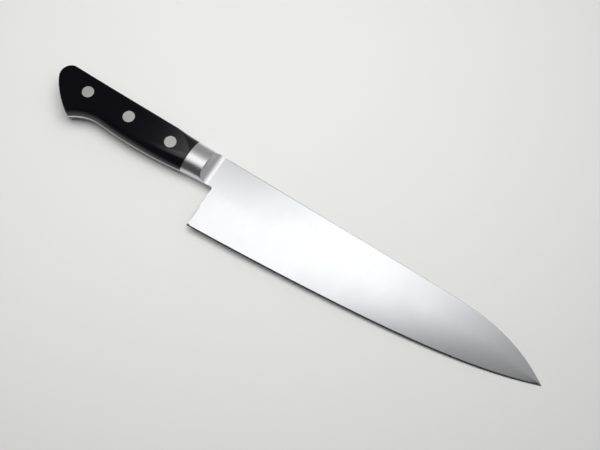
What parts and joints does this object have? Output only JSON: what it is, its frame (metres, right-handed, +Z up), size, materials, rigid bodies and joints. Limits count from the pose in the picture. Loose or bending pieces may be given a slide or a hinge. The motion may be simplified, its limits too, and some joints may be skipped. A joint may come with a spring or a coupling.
{
  "type": "gyuto knife",
  "caption": "Gyuto chef's knife: long tapered blade with a pointed tip, full tang, cove-fronted steel bolster and black riveted scales, for slicing and chopping food by hand.",
  "frame": {"origin": "under the middle of the knife's bounding box as it lies on its left side", "axes": "+X from butt to tip, +Y from edge to spine, +Z up out of the right face of the blade"},
  "size_m": [0.3724, 0.0518, 0.0148],
  "materials": {
    "blade_steel": "fine satin polish",
    "bolster_steel": "bright polish",
    "handle_black": "satin, smooth, resin-bonded laminate",
    "rivet_steel": "ground flush, satin"
  },
  "bodies": {
    "root": {"blade": "blade_steel", "bolster_right": "bolster_steel", "bolster_left": "bolster_steel", "scale_right": "handle_black", "scale_left": "handle_black", "front_rivet_male": "rivet_steel", "front_rivet_female": "rivet_steel", "middle_rivet_male": "rivet_steel", "middle_rivet_female": "rivet_steel", "rear_rivet_male": "rivet_steel", "rear_rivet_female": "rivet_steel"}
  },
  "joints": []
}
